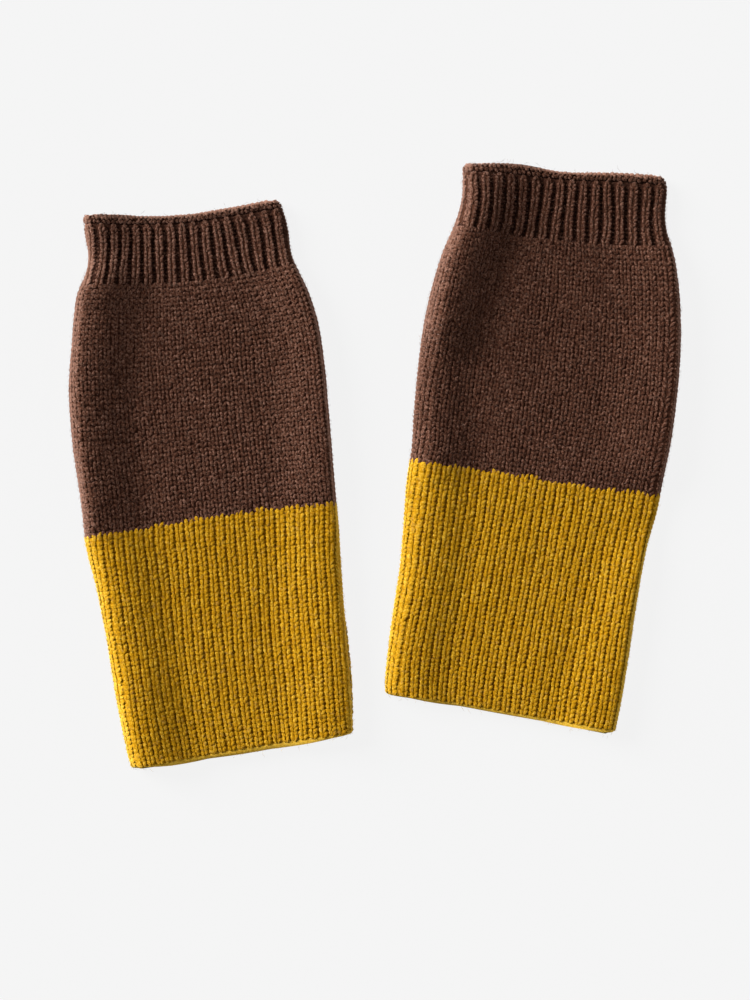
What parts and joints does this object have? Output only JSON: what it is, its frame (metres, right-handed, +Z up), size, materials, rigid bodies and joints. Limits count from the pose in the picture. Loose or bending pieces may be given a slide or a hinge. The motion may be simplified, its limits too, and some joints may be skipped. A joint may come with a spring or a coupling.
{
  "type": "pair of knitted arm warmers",
  "caption": "Pair of knitted wool arm warmers lying flat: open tubes with a rolled rim, a brown ribbed cuff, a plain brown body and a ribbed mustard band.",
  "frame": {"origin": "on the floor, at the centre of the pair's bounding box", "axes": "+Z up off the floor; +X from the left warmer to the right one; +Y towards the rolled rims"},
  "size_m": [0.2453, 0.243, 0.0128],
  "materials": {
    "brown_wool": "dark brown heathered wool knit, soft and slightly fuzzy",
    "mustard_wool": "mustard yellow heathered wool knit, ribbed, slightly fuzzy"
  },
  "bodies": {
    "root": {"left_rim": "brown_wool", "left_cuff": "brown_wool", "left_body": "brown_wool", "left_band": "mustard_wool", "left_hem": "mustard_wool", "right_rim": "brown_wool", "right_cuff": "brown_wool", "right_body": "brown_wool", "right_band": "mustard_wool", "right_hem": "mustard_wool"}
  },
  "joints": []
}
